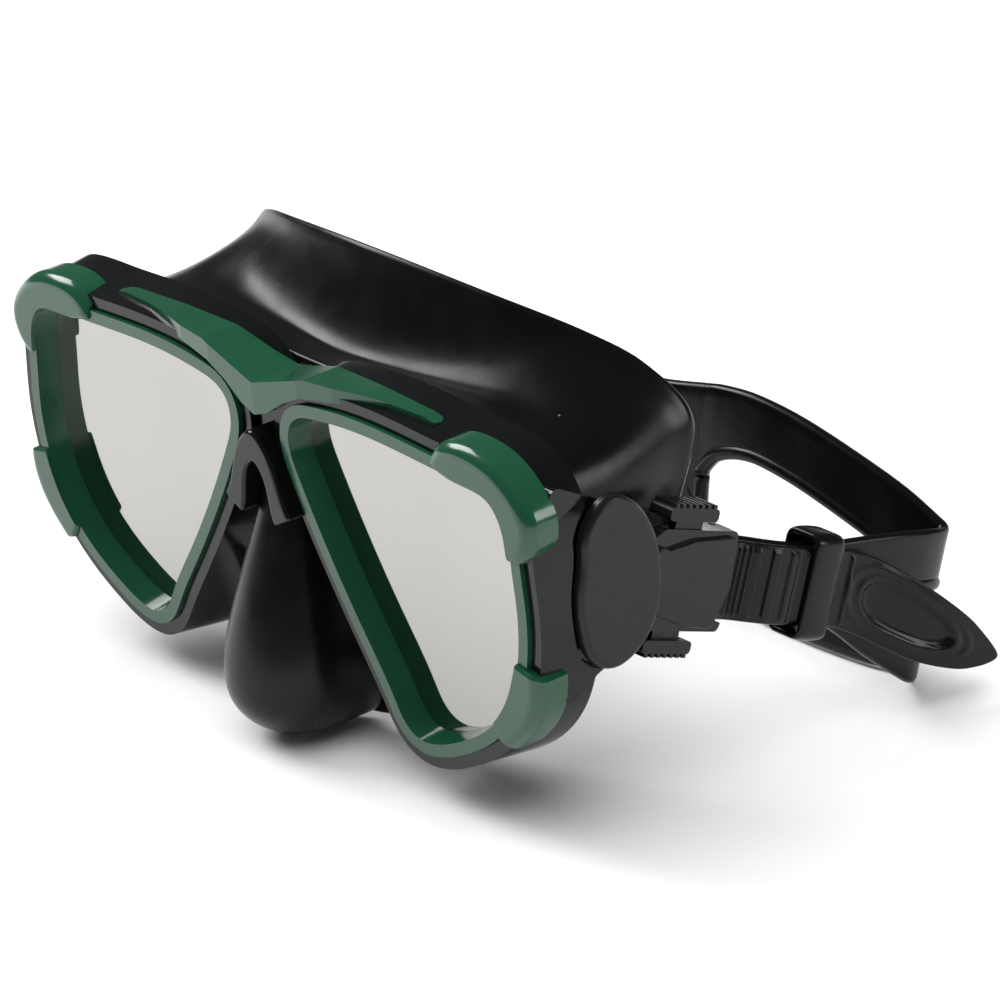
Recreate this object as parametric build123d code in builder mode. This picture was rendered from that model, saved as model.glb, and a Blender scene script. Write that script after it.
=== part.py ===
from build123d import *
import math
import os

# Two-window diving mask: glossy frame, green lens rims, silicone skirt and a swivelling buckle strap.
# Millimetres. +Z is up, the lenses look along -Y and +X is the wearer's left.
# The mask is drawn from a datum at the top of the lens fronts and set down on its own feet at the end.

os.makedirs("parts", exist_ok=True)

# ---------------------------------------------------------------- driving dimensions
floor_z = -76.0              # lowest point, under the nose pocket, measured from the datum
centre_y = 49.85             # middle of the whole mask and strap, front to back
clearance = 0.3              # air between pieces that move past each other

rim_depth = 5.0              # front of the rim to the glass
rim_land = 2.6               # width of the rim's front face
rim_draft = 0.9              # how far the rim's inner wall closes in over its depth
glass_thick = 3.0
glass_margin = 0.8           # the glass is this much smaller than the rim all round
lip_thick = 1.6              # silicone lip that the glass is pressed against
lip_gap = 0.1

frame_front_y = 1.0
frame_back_y = 14.0
frame_lip = 2.8              # black land round the green rim
frame_flare = 4.4            # the same at the back of the frame
flange_inset = 4.2           # frame flange behind the lip, measured from the rim outline
skin = 1.8                   # silicone wall

head_radius = 105.0          # curve of the face that the skirt seals on
head_tilt = 12.0             # degrees that the face leans, forehead back
skirt_centre_y = 32.0        # rear edge at the forehead
skirt_top_z = 18.0           # and its height there

pivot_y = 18.0               # buckle swivel, under the side caps
pivot_z = -23.0
buckle_drop = 21.0           # degrees that the buckles hang below level
cap_outer_x = 84.5
cap_thick = 2.4
wing_outer_x = 77.4          # outside of the frame's ear, under the buckle
pin_radius = 3.0
bore_radius = 3.06
buckle_inner_x = 77.8
buckle_outer_x = 80.6
buckle_deep_x = 71.0         # the rear half of the buckle is thicker, for the roller
buckle_half = 10.0           # half height of its rear half
buckle_end = 33.0            # rear end, from the pivot along the buckle
button_travel = 1.5
button_u = 19.4
button_half = 3.5            # half length of the shank that slides in the buckle
shank_end = 6.6              # inner end of the shank, from the buckle's middle line
pocket_end = 3.2
shank_x = 78.4
shank_thick = 1.7
pad_tall = 2.6               # thumb pad of a button
spring_radius = 0.75
spring_wire = 0.18           # wire radius

strap_width = 15.6           # ribbed part, through the buckle
strap_thick = 2.2
roller_u = 29.6              # roller axis, from the pivot along the buckle
roller_x = 75.8
roller_radius = 2.0
roller_pin_radius = 0.8
roller_bore_radius = 0.86
keeper_u = 54.0
keeper_width = 7.6
keeper_wall = 1.4
keeper_inner_x = 76.9        # opening of the keeper
keeper_outer_x = 83.5

# Outline of a lens rim on the wearer's left, as (x, z), clockwise from the bridge corner.
rim_points = [(15, -0.2), (25, 1.1), (36, 1.5), (46, 1.2), (56, 0.7), (66, 0.4), (73, -1.2), (77, -6.5),
              (78.2, -15), (78.9, -25), (77.8, -36), (74, -46), (67.5, -54), (56, -61.6), (48, -64.8),
              (42, -65.2), (37, -62.6), (33.6, -57.6), (26, -46), (16, -30.2), (9, -17.3), (6.7, -10.5),
              (8.2, -4.2)]


def grown(points, amount):
    """Move every point of a clockwise closed outline outwards by the same amount."""
    moved = []
    for index, point in enumerate(points):
        before = points[index - 1]
        after = points[(index + 1) % len(points)]
        along_x = after[0] - before[0]
        along_z = after[1] - before[1]
        length = math.hypot(along_x, along_z)
        moved.append((point[0] - amount * along_z / length, point[1] + amount * along_x / length))
    return moved


def loop_sketch(points, y, side=1):
    """Smooth closed outline in the front view at depth y. side -1 gives the wearer's right."""
    placed = [(side * x, z) for x, z in points]
    with BuildSketch(Plane.XZ.offset(-y)) as sketch:
        with BuildLine():
            Spline(*placed, periodic=True)
        make_face()
    return sketch.sketch


def lens_block(grow_front, grow_back, y_front, y_back, side=1):
    """Solid of the lens outline between two depths, grown by an amount at each end."""
    with BuildPart() as block:
        loft([loop_sketch(grown(rim_points, grow_front), y_front, side),
              loop_sketch(grown(rim_points, grow_back), y_back, side)])
    return block.part


def front_prism(points, y_front, y_back):
    """Straight-sided solid from a front-view outline."""
    with BuildPart() as prism:
        with BuildSketch(Plane.XZ.offset(-y_front)):
            with BuildLine():
                Polyline(*points, close=True)
            make_face()
        extrude(amount=-(y_back - y_front))
    return prism.part


def side_plane(x, side=1):
    """Plane facing the wearer's left at x, its axes along +Y and +Z."""
    return Plane(origin=(side * x, 0, 0), x_dir=(0, 1, 0), z_dir=(1, 0, 0))


drop = math.radians(buckle_drop)
along = (math.cos(drop), -math.sin(drop))       # buckle's length in (y, z)
across = (math.sin(drop), math.cos(drop))       # buckle's height in (y, z)


def buckle_plane(x, side=1):
    """Plane at the swivel, first axis along the hanging buckle, second axis across it."""
    return Plane(origin=(side * x, pivot_y, pivot_z), x_dir=(0, *along), z_dir=(1, 0, 0))


def buckle_point(u, v):
    """Buckle coordinates to (y, z)."""
    return (pivot_y + u * along[0] + v * across[0], pivot_z + u * along[1] + v * across[1])


def save(piece, name):
    """Set a finished piece down with the mask's footprint centred on the origin, and write it."""
    placed = piece.moved(Location((0, -centre_y, -floor_z)))
    placed.label = name
    export_step(placed, f"parts/{name}.step")
    print(f"{name:24s} solids {len(placed.solids())} valid {placed.is_valid} volume {placed.volume:9.1f}")


sides = {"left": 1, "right": -1}

# ---------------------------------------------------------------- lens rims, with their corner blocks
# Each block: the smooth outer wall, then the straight ends and the side hidden inside the rim.
upper_wall = [(54.4, 2.0), (57.5, 4.5), (65, 5.6), (73, 4.0), (79.2, -0.3), (82.6, -6.0), (82.0, -10.4), (79.8, -13.8)]
upper_ends = [(75.2, -13.9), (71, -5), (54.6, -1.2)]
lower_wall = [(81.9, -38), (81.6, -41.5), (79.8, -46.5), (76.4, -51.2), (72.2, -55.2)]
lower_ends = [(68.6, -53.8), (66.5, -50), (72, -42), (75, -35.6), (79.6, -36.6)]
block_front_y = -1.0
block_back_y = 6.4
wall_rounding = 2.8           # front edge of the blocks' outer wall


def corner_block(wall, ends, side, y_front=block_front_y, rounding=0.9):
    """Block that wraps over the corner of the frame, its front edges rounded."""
    with BuildPart() as block:
        with BuildSketch(Plane.XZ.offset(-y_front)):
            with BuildLine():
                outer = Spline(*[(side * x, z) for x, z in wall])
                Polyline(outer @ 1, *[(side * x, z) for x, z in ends], outer @ 0)
            make_face()
        extrude(amount=-(block_back_y - y_front))
        if rounding:
            front_edges = block.faces().sort_by(Axis.Y)[0].edges().sort_by(SortBy.LENGTH)
            fillet(front_edges[-1], radius=wall_rounding)
            fillet(block.faces().sort_by(Axis.Y)[0].edges().sort_by(SortBy.LENGTH)[:-1], radius=rounding)
    return block.part


def lens_rim(side):
    with BuildPart() as rim:
        add(lens_block(0, 0, 0, rim_depth, side))
        add(corner_block(upper_wall, upper_ends, side))
        add(corner_block(lower_wall, lower_ends, side))
        add(lens_block(-rim_land, -rim_land - rim_draft, -0.01, rim_depth + 0.01, side), mode=Mode.SUBTRACT)
        add(lens_block(-rim_land, -rim_land, block_front_y - 1, 0, side), mode=Mode.SUBTRACT)
        add(lens_block(0.2, 0.2, rim_depth, block_back_y + 1, side), mode=Mode.SUBTRACT)
    return rim


# ---------------------------------------------------------------- main frame
bridge = [(-12, -1), (0, -2.4), (12, -1), (12, -14), (9, -21.5), (4, -17.5), (0, -16.4), (-4, -17.5), (-9, -21.5),
          (-12, -14)]
ear = [(6, 0.5), (12, -3), (17, -6), (23.5, -10.5), (26, -18), (25.5, -30), (21.5, -36.5), (15, -41), (10, -44),
       (6, -46)]
cap_points = [(10.6, -14), (13.6, -7.6), (18.5, -5), (24.5, -8.6), (28.4, -16), (29.3, -25), (27, -33.4),
              (21.8, -38.6), (15.5, -39.8), (10.9, -36.4), (9, -30), (9, -22)]


def side_loop(points, x, margin=0.0):
    """Smooth closed outline in the side view at x."""
    with BuildSketch(side_plane(x)) as sketch:
        with BuildLine():
            Spline(*grown(points, margin), periodic=True)
        make_face()
    return sketch.sketch


with BuildPart() as frame:
    add(front_prism(bridge, 2.4, frame_back_y))
    for side in (1, -1):
        add(lens_block(frame_lip, frame_flare, frame_front_y, frame_back_y, side))
    for side in (1, -1):
        with BuildSketch(side_plane(72, side)) as ear_sketch:
            with BuildLine():
                Polyline(*ear, close=True)
            make_face()
            fillet(ear_sketch.vertices(), radius=1.8)
        extrude(amount=side * 9.0)
    for side in (1, -1):
        extrude(side_loop(cap_points, side * wing_outer_x, 0.7), amount=side * 12, mode=Mode.SUBTRACT)
        with BuildSketch(side_plane(wing_outer_x, side)):
            with Locations((pivot_y + 20, pivot_z)):
                Rectangle(32, 36)
        extrude(amount=side * 12, mode=Mode.SUBTRACT)
        add(lens_block(0.1, 0.1, -3, rim_depth + glass_thick + lip_thick, side), mode=Mode.SUBTRACT)
        add(lens_block(-flange_inset, -flange_inset, 0, 40, side), mode=Mode.SUBTRACT)
        for wall, ends in ((upper_wall, upper_ends), (lower_wall, lower_ends)):
            add(corner_block(wall, ends, side, -3, 0), mode=Mode.SUBTRACT)

# ---------------------------------------------------------------- green bridge trim
trim_front = [(0, 0.6), (6, 2.4), (16, 5.4), (31, 5.9), (47, 5.3), (50.5, 4.6), (50.5, 3.3), (38, 3.0), (24, 2.6),
              (14.6, 1.2), (9, -1.4), (4, -4.8), (0, -6.2)]
trim_top = [(0, -0.8), (14, -0.4), (24, 0.6), (38, 3.6), (50, 4.6), (50.6, 6), (49.5, 7.4), (31, 7.8), (17, 8.6),
            (6, 9.8), (0, 11)]


def mirrored(points):
    """Whole outline of a shape that is given for x >= 0 only, from centre to centre."""
    return points + [(-x, other) for x, other in reversed(points[1:-1])]


with BuildPart() as trim:
    with BuildSketch(Plane.XZ.offset(4)):
        with BuildLine():
            Polyline(*mirrored(trim_front), close=True)
        make_face()
    extrude(amount=-20)
    with BuildSketch(Plane.XY.offset(-10)):
        with BuildLine():
            Polyline(*mirrored(trim_top), close=True)
        make_face()
    extrude(amount=20, mode=Mode.INTERSECT)
    add(frame.part, mode=Mode.SUBTRACT)
    for side in (1, -1):
        add(lens_block(0.3, 0.3, -3, 9, side), mode=Mode.SUBTRACT)

# ---------------------------------------------------------------- nose clip, a saddle over the nose pocket
clip_outside = [(-10.4, -25.4), (-6.9, -18), (-4.4, -12.4), (0, -9.2), (4.4, -12.4), (6.9, -18), (10.4, -25.4)]
clip_inside = [(5.2, -28.2), (3.6, -22), (2.0, -17.4), (0, -15.8), (-2.0, -17.4), (-3.6, -22), (-5.2, -28.2)]
clip_front_y = -2.6
clip_back_y = 2.2
with BuildPart() as clip:
    with BuildSketch(Plane.XZ.offset(-clip_front_y)) as clip_sketch:
        with BuildLine():
            arch = Spline(*clip_outside)
            Line(arch @ 1, clip_inside[0])
            hollow = Spline(*clip_inside)
            Line(hollow @ 1, arch @ 0)
        make_face()
        fillet(clip_sketch.vertices(), radius=0.8)
    extrude(amount=-(clip_back_y - clip_front_y))
    fillet(clip.faces().sort_by(Axis.Y)[0].edges(), radius=0.8)
    for side in (1, -1):
        add(lens_block(0.3, 0.3, -4, 9, side), mode=Mode.SUBTRACT)
    add(frame.part, mode=Mode.SUBTRACT)

# ---------------------------------------------------------------- silicone skirt
skirt_front = [(0, 0), (20, 0.5), (45, 0.8), (60, -1.0), (69, -8), (71.2, -24), (67.5, -42), (58, -55),
               (45, -62), (34, -60), (26, -60), (18, -67), (9, -73.5), (0, -75)]
skirt_rear = [(0, 38.8), (30, 28), (50, 16.2), (60, 7.8), (66, -4), (67, -24), (63, -43), (53, -57), (40, -65),
              (27, -70), (18, -72.5), (12, -74), (6, -75), (0, -75.2)]
skirt_y = frame_back_y + 0.1
skirt_rear_y = 58.0


def skirt_solid(inset, y_front, y_back):
    with BuildPart() as body:
        loft([loop_sketch(grown(mirrored(skirt_front), -inset), y_front),
              loop_sketch(grown(mirrored(skirt_rear), -inset), y_back)])
    return body.part


# Nose pocket sections as (z, front y, half width)
nose_sections = [(-22, 3.4, 4.0), (-30, 0.8, 7.0), (-40, -3.8, 10.5), (-52, -8.0, 12.5), (-63, -9.6, 13.0),
                 (-71, -7.0, 11.5), (-75.4, 0.5, 7.0)]
nose_back_y = 24.0


def nose_solid(inset):
    """Pocket with a round front and straight flanks, thinner all round by the inset."""
    outlines = []
    for z, front, half in nose_sections:
        level = z + (inset if z < -70 else 0)
        width = half - inset
        with BuildSketch(Plane.XY.offset(level)) as section:
            with BuildLine():
                nose = ThreePointArc((-width, front + half), (0, front + inset), (width, front + half))
                Polyline(nose @ 1, (width + 1, nose_back_y), (-width - 1, nose_back_y), nose @ 0)
            make_face()
        outlines.append(section.sketch)
    with BuildPart() as body:
        loft(outlines, ruled=True)
    return body.part


with BuildPart() as skirt:
    add(skirt_solid(0, skirt_y, skirt_rear_y))
    add(nose_solid(0))
    add(skirt_solid(skin, skirt_y + skin, skirt_rear_y + 0.1), mode=Mode.SUBTRACT)
    add(nose_solid(skin), mode=Mode.SUBTRACT)
    head_axis = Plane(origin=(0, skirt_centre_y + head_radius, skirt_top_z), x_dir=(1, 0, 0),
                      z_dir=(0, math.sin(math.radians(head_tilt)), math.cos(math.radians(head_tilt))))
    with BuildSketch(head_axis.offset(-160)):
        Circle(head_radius)
    extrude(amount=260, mode=Mode.SUBTRACT)
    for side in (1, -1):
        lip_front = rim_depth + glass_thick + lip_gap
        add(lens_block(-1.2, -1.2, lip_front, lip_front + lip_thick - 0.2, side))
        add(lens_block(-flange_inset - 0.1, -flange_inset - 0.1, lip_front + lip_thick - 0.21, skirt_y + 1, side))
    for side in (1, -1):
        add(lens_block(-flange_inset - skin, -flange_inset - skin, 0, skirt_y + 4, side), mode=Mode.SUBTRACT)

# ---------------------------------------------------------------- buckles
body_outline = [(-5.5, -5.5), (-5.5, 5.5), (7.5, 5.8), (13.5, buckle_half), (buckle_end - 0.8, buckle_half),
                (buckle_end, 7), (buckle_end, -7), (buckle_end - 0.8, -buckle_half), (13.5, -buckle_half),
                (7.5, -5.8)]
cover_outline = [(11.2, -6.0), (11.2, 7.2), (14.6, 6.2), (21.0, 8.2), (31.8, 9.2), (32.4, -1.0), (29.6, -9.2),
                 (23, -9.0)]
cover_thick = 1.2
window_half = strap_width / 2 + 0.4
window_start = roller_u - roller_radius - strap_thick - 1.0


def buckle_sheet(points, x, side, rounding):
    """Rounded outline in buckle coordinates."""
    with BuildSketch(buckle_plane(x, side)) as sheet:
        with BuildLine():
            Polyline(*points, close=True)
        make_face()
        fillet(sheet.vertices(), radius=rounding)
    return sheet.sketch


def roller_axis(side, distance):
    """Plane across the roller's axis, at a distance from its middle."""
    origin = (side * roller_x, *buckle_point(roller_u, 0))
    return Plane(origin=origin, x_dir=(1, 0, 0), z_dir=(0, *across)).offset(distance)


def buckle_body(side):
    with BuildPart() as body:
        extrude(buckle_sheet(body_outline, buckle_inner_x, side, 1.2), amount=side * (buckle_outer_x - buckle_inner_x))
        with BuildSketch(buckle_plane(buckle_deep_x, side)) as rear:
            with Locations(((window_start - 1.6 + buckle_end) / 2, 0)):
                Rectangle(buckle_end - window_start + 1.6, 2 * buckle_half)
            fillet(rear.vertices(), radius=1.5)
        extrude(amount=side * (buckle_inner_x - buckle_deep_x + 0.5))
        with BuildSketch(buckle_plane(buckle_deep_x - 1, side)):
            with Locations(((window_start + buckle_end + 4) / 2, 0)):
                Rectangle(buckle_end + 4 - window_start, 2 * window_half)
        extrude(amount=side * 20, mode=Mode.SUBTRACT)
        with BuildSketch(buckle_plane(buckle_inner_x - 1, side)):
            Circle(bore_radius)
        extrude(amount=side * 8, mode=Mode.SUBTRACT)
        with BuildSketch(roller_axis(side, -15)):
            Circle(roller_pin_radius)
        extrude(amount=30, mode=Mode.SUBTRACT)
        for up in (1, -1):
            with BuildSketch(buckle_plane(shank_x - 0.2, side)):
                with Locations((button_u, up * (buckle_half + 1 + pocket_end) / 2)):
                    Rectangle(2 * button_half + 2 * clearance, buckle_half + 1 - pocket_end)
            extrude(amount=side * (shank_thick + 2 * 0.2), mode=Mode.SUBTRACT)
    return body


def button(side, up):
    """Squeeze button: a shank that slides in the buckle and a ribbed thumb pad outside it."""
    pad_low = buckle_half + button_travel + 0.25
    with BuildPart() as key:
        with BuildSketch(buckle_plane(shank_x, side)):
            with Locations((button_u, up * (pad_low + 0.5 + shank_end) / 2)):
                Rectangle(2 * button_half, pad_low + 0.5 - shank_end)
        extrude(amount=side * shank_thick)
        with BuildSketch(buckle_plane(buckle_inner_x - 2.8, side)) as pad:
            with Locations((button_u, up * (pad_low + pad_tall / 2))):
                Rectangle(12.6, pad_tall)
            fillet(pad.vertices(), radius=0.9)
        extrude(amount=side * 6.2)
        with BuildSketch(buckle_plane(buckle_inner_x - 2.8, side)):
            with Locations(*[(button_u - 4.95 + 1.65 * rib, up * (pad_low + pad_tall + 0.3)) for rib in range(7)]):
                Rectangle(0.9, 0.9)
        extrude(amount=side * 6.2)
    return key


def button_spring(side, up):
    """Coil between the bottom of the pocket and the shank of a button."""
    middle_x = side * (shank_x + shank_thick / 2)
    low = buckle_point(button_u, up * (pocket_end + spring_wire + 0.02))
    axis = Plane(origin=(middle_x, *low), x_dir=(1, 0, 0), z_dir=(0, up * across[0], up * across[1]))
    height = shank_end - pocket_end - 2 * spring_wire - 0.04
    with BuildPart() as coil:
        with BuildLine() as path:
            Helix(pitch=height / 4, height=height, radius=spring_radius)
        with BuildSketch(Plane(path.line @ 0, z_dir=path.line % 0)):
            Circle(spring_wire)
        sweep()
    return coil.part.moved(axis.location)


# ---------------------------------------------------------------- strap
# Plan view of the strap's middle line, (x, y), from the left roller round the back to the right roller.
inner_x = roller_x - roller_radius - 0.25 - strap_thick / 2
outer_x = roller_x + roller_radius + 0.25 + strap_thick / 2
roller_y = buckle_point(roller_u, 0)[0]
fold_x = 74.0
strap_route = [(inner_x, roller_y - 4), (inner_x, roller_y), (inner_x, roller_y + 3.5), (inner_x + 2.6, 53.5),
               (77.8, 57), (78.4, 60.5), (78.4, 78), (79.4, 90), (78.6, 100), (74, 106.5), (64, 108.5),
               (32, 106.5), (0, 104.5), (-28, 103), (-52, 100), (-68, 94), (-76, 86), (-78.4, 78), (-78.4, 60.5),
               (-77.8, 57), (-inner_x - 2.6, 53.5), (-inner_x, roller_y + 3.5), (-inner_x, roller_y),
               (-inner_x, roller_y - 4)]
tail_route = [(outer_x, roller_y - 4), (outer_x, roller_y), (outer_x, roller_y + 5), (81.0, 55.5), (81.8, 58.5),
              (82.0, 61), (82.0, 78), (84, 87), (88.5, 98), (91, 104)]


def ribbon(route, thick, z_low, z_high):
    """Upright band that follows a route in plan."""
    left = []
    right = []
    for index, point in enumerate(route):
        before = route[max(index - 1, 0)]
        after = route[min(index + 1, len(route) - 1)]
        along_x = after[0] - before[0]
        along_y = after[1] - before[1]
        length = math.hypot(along_x, along_y)
        left.append((point[0] - along_y / length * thick / 2, point[1] + along_x / length * thick / 2))
        right.append((point[0] + along_y / length * thick / 2, point[1] - along_x / length * thick / 2))
    with BuildPart() as band:
        with BuildSketch(Plane.XY.offset(z_low)):
            with BuildLine():
                one = Spline(*left)
                Line(one @ 1, right[-1])
                other = Spline(*reversed(right))
                Line(other @ 1, one @ 0)
            make_face()
        extrude(amount=z_high - z_low)
    return band.part


def sheet_y(points, x_low, x_high):
    """Straight-sided solid from a side-view outline, (y, z), between two depths in x."""
    with BuildPart() as slab:
        with BuildSketch(side_plane(x_low)):
            with BuildLine():
                Polyline(*points, close=True)
            make_face()
        extrude(amount=x_high - x_low)
    return slab.part


half = strap_width / 2
keeper_half = half + 1.4
# Side view of the near run, (y, z): it widens from the buckle to the fold at the back.
near_top = [buckle_point(roller_u, half), buckle_point(keeper_u + 6, half), (96, -42), (116, -45)]
near_low = [(116, -76), (99, -75.8), (78, -59.0), buckle_point(keeper_u + 5, -half - 0.9),
            buckle_point(keeper_u - 14, -half), buckle_point(roller_u, -half)]
# Front view of the far run, (x, z).
far_top = [(90, -45), (66, -42), (40, -33), (10, -25.5), (-20, -21), (-50, -21), (-72, -22), (-90, -22.5)]
far_low = [(-90, -44), (-72, -43.5), (-50, -52), (-20, -66), (10, -74), (40, -75.6), (90, -76)]
split_view = [(0, -46), (4, -41), (12, -40), (30, -46), (52, -54), (62, -57.5), (52, -60.5), (30, -57), (10, -53),
              (2, -50)]
near_split = [(112, -64), (103, -60), (91, -50), (84, -47.4), (86, -52), (98, -62.5), (112, -66)]
tail_top = [buckle_point(roller_u, half), buckle_point(keeper_u + 2, half), (84, -41.5), (94, -50.5), (103.5, -60.5),
            (106.2, -65.5), (105, -69), (101, -70)]
tail_low = [(90, -65.5), buckle_point(keeper_u + 2, -half), buckle_point(roller_u, -half)]


def strap_wrap(side):
    """Half turn of the strap round a roller."""
    with BuildPart() as wrap:
        with BuildSketch(roller_axis(side, -half)):
            Circle(roller_radius + 0.25 + strap_thick)
            Circle(roller_radius + 0.25, mode=Mode.SUBTRACT)
        extrude(amount=2 * half)
        with BuildSketch(buckle_plane(60, side)):
            with Locations((roller_u + 10.2, 0)):
                Rectangle(20, 40)
        extrude(amount=side * 40, mode=Mode.SUBTRACT)
    return wrap.part


def tail(side):
    """Free end of the strap, outside the band that it grips."""
    route = [(side * x, y) for x, y in tail_route]
    with BuildPart() as end:
        add(ribbon(route, strap_thick, -80, -10))
        add(sheet_y(tail_top + tail_low, side * 60, side * 120), mode=Mode.INTERSECT)
    return end.part


with BuildPart() as far_run:
    add(ribbon(strap_route, strap_thick, -80, -10))
    add(front_prism(far_top + far_low, 40, 130), mode=Mode.INTERSECT)
    add(front_prism(split_view, 95, 130), mode=Mode.SUBTRACT)
    add(sheet_y([(0, 10), (0, -90), (130, -90), (130, 10)], fold_x, 120), mode=Mode.SUBTRACT)
    add(sheet_y([(0, 10), (0, -90), (95, -90), (95, 10)], 60, 120), mode=Mode.SUBTRACT)
    add(sheet_y([near_top[0], (0, near_top[0][1]), (0, 30), (96, 30), near_top[1]], -120, -60),
        mode=Mode.SUBTRACT)
    add(sheet_y([near_low[-1], (0, near_low[-1][1]), (0, -90), (96, -90), (96, -60), near_low[-2]], -120, -60),
        mode=Mode.SUBTRACT)
    with BuildSketch(buckle_plane(60, -1)):
        with Locations((roller_u / 2, 0)):
            Rectangle(roller_u, 60)
    extrude(amount=-60, mode=Mode.SUBTRACT)

with BuildPart() as near_run:
    add(ribbon(strap_route, strap_thick, -80, -10))
    add(sheet_y(near_top + near_low, 60, 120), mode=Mode.INTERSECT)
    add(sheet_y(near_split, 60, 120), mode=Mode.SUBTRACT)
    add(sheet_y([(95, 10), (95, -90), (130, -90), (130, 10)], 0, fold_x), mode=Mode.SUBTRACT)

with BuildPart() as strap:
    add(far_run.part)
    add(near_run.part)
    for side in (1, -1):
        add(strap_wrap(side))
        add(tail(side))


def keeper(side):
    """Loop that holds the tail against the band."""
    with BuildPart() as loop:
        with BuildSketch(buckle_plane(keeper_inner_x - keeper_wall, side)) as block:
            with Locations((keeper_u, 0)):
                Rectangle(keeper_width, 2 * (keeper_half + keeper_wall))
        extrude(amount=side * (keeper_outer_x - keeper_inner_x + 2 * keeper_wall))
        fillet(loop.edges().filter_by(Axis((0, 0, 0), (0, *along))), radius=0.7)
        with BuildSketch(buckle_plane(keeper_inner_x, side)):
            with Locations((keeper_u, 0)):
                Rectangle(keeper_width + 1, 2 * keeper_half)
        extrude(amount=side * (keeper_outer_x - keeper_inner_x), mode=Mode.SUBTRACT)
    return loop


# ---------------------------------------------------------------- write the pieces on both sides
save(frame.part, "frame")
save(trim.part, "bridge_trim")
save(clip.part, "nose_clip")
save(skirt.part, "skirt")
save(strap.part, "strap")

for word, side in sides.items():
    rim = lens_rim(side)
    save(rim.part, f"rim_{word}")

    glass = lens_block(-glass_margin, -glass_margin, rim_depth + 0.02, rim_depth + glass_thick, side)
    save(glass, f"lens_{word}")

    with BuildPart() as cap:
        extrude(side_loop(cap_points, side * (cap_outer_x - cap_thick)), amount=side * cap_thick)
        outer_face = cap.faces().sort_by(Axis.X)[-1 if side > 0 else 0]
        fillet(outer_face.edges(), radius=1.2)
        with BuildSketch(side_plane(cap_outer_x - cap_thick, side)):
            with Locations((pivot_y, pivot_z)):
                Circle(2.0)
        extrude(amount=side * 1.2, mode=Mode.SUBTRACT)
    save(cap.part, f"side_cap_{word}")

    with BuildPart() as pin:
        with BuildSketch(side_plane(wing_outer_x, side)):
            with Locations((pivot_y, pivot_z)):
                Circle(pin_radius)
        extrude(amount=side * (cap_outer_x - cap_thick - wing_outer_x))
        with BuildSketch(side_plane(cap_outer_x - cap_thick, side)):
            with Locations((pivot_y, pivot_z)):
                Circle(1.98)
        extrude(amount=side * 1.0)
    save(pin.part, f"pivot_pin_{word}")

    save(buckle_body(side).part, f"buckle_body_{word}")

    with BuildPart() as cover:
        extrude(buckle_sheet(cover_outline, buckle_outer_x, side, 1.6), amount=side * cover_thick)
        outer_face = cover.faces().sort_by(Axis.X)[-1 if side > 0 else 0]
        fillet(outer_face.edges(), radius=0.5)
    save(cover.part, f"buckle_cover_{word}")

    for name, up in (("upper", 1), ("lower", -1)):
        save(button(side, up).part, f"{name}_button_{word}")
        save(button_spring(side, up), f"{name}_spring_{word}")

    save(keeper(side).part, f"keeper_{word}")

    with BuildPart() as roller:
        with BuildSketch(roller_axis(side, -half)):
            Circle(roller_radius)
            Circle(roller_bore_radius, mode=Mode.SUBTRACT)
        extrude(amount=2 * half)
    save(roller.part, f"roller_{word}")

    with BuildPart() as roller_pin:
        with BuildSketch(roller_axis(side, -buckle_half + 0.3)):
            Circle(roller_pin_radius)
        extrude(amount=2 * buckle_half - 0.6)
    save(roller_pin.part, f"roller_pin_{word}")
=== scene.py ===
import math

import bmesh
import bpy
from mathutils import Matrix, Vector


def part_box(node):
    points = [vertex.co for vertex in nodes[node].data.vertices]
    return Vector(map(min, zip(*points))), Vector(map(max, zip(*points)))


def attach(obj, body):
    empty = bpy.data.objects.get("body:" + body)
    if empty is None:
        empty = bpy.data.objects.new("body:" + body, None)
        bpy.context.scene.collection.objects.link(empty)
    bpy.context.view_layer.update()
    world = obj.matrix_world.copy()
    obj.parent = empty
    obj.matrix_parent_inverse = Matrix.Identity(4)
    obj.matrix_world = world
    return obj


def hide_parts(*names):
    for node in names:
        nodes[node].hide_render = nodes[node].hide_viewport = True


# Looks of a two-window diving mask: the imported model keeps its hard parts, and the silicone skirt,
# the strap and its two keepers are rebuilt here in detail. Lengths are in millimetres from the mask's
# own datum (lens fronts along y, top of the rims at z 0) until at() turns them into the frame's metres.

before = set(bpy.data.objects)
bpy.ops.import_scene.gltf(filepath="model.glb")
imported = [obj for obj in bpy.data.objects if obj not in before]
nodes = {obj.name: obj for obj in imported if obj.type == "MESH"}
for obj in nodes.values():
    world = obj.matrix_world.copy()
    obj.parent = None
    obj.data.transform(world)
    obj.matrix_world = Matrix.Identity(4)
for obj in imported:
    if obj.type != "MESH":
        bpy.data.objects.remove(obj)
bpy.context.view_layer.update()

LENS_FRONT = 5.02                    # glass front, behind the front of the rims
FLOOR = 76.0                         # the datum's height over the surface that the mask stands on
CENTRE_Y = LENS_FRONT - 1000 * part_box("lens_left")[0].y


def at(x, y, z):
    """Datum millimetres to a point of the frame."""
    return Vector((x, y - CENTRE_Y, z + FLOOR)) / 1000


# ---------------------------------------------------------------- small tools
def smooth(points, steps, closed=False):
    """Points on a Catmull-Rom curve through tuples of any width, `steps` of them to a span."""
    count = len(points)
    spans = count if closed else count - 1
    result = []
    for i in range(spans):
        if closed:
            a, b, c, d = (points[(i + k) % count] for k in (-1, 0, 1, 2))
        else:
            a, b, c, d = (points[min(max(i + k, 0), count - 1)] for k in (-1, 0, 1, 2))
        for step in range(steps):
            t = step / steps
            result.append(tuple(
                0.5 * (2 * q + (r - p) * t + (2 * p - 5 * q + 4 * r - s) * t * t + (3 * q - p - 3 * r + s) * t ** 3)
                for p, q, r, s in zip(a, b, c, d)))
    if not closed:
        result.append(tuple(points[-1]))
    return result


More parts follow.
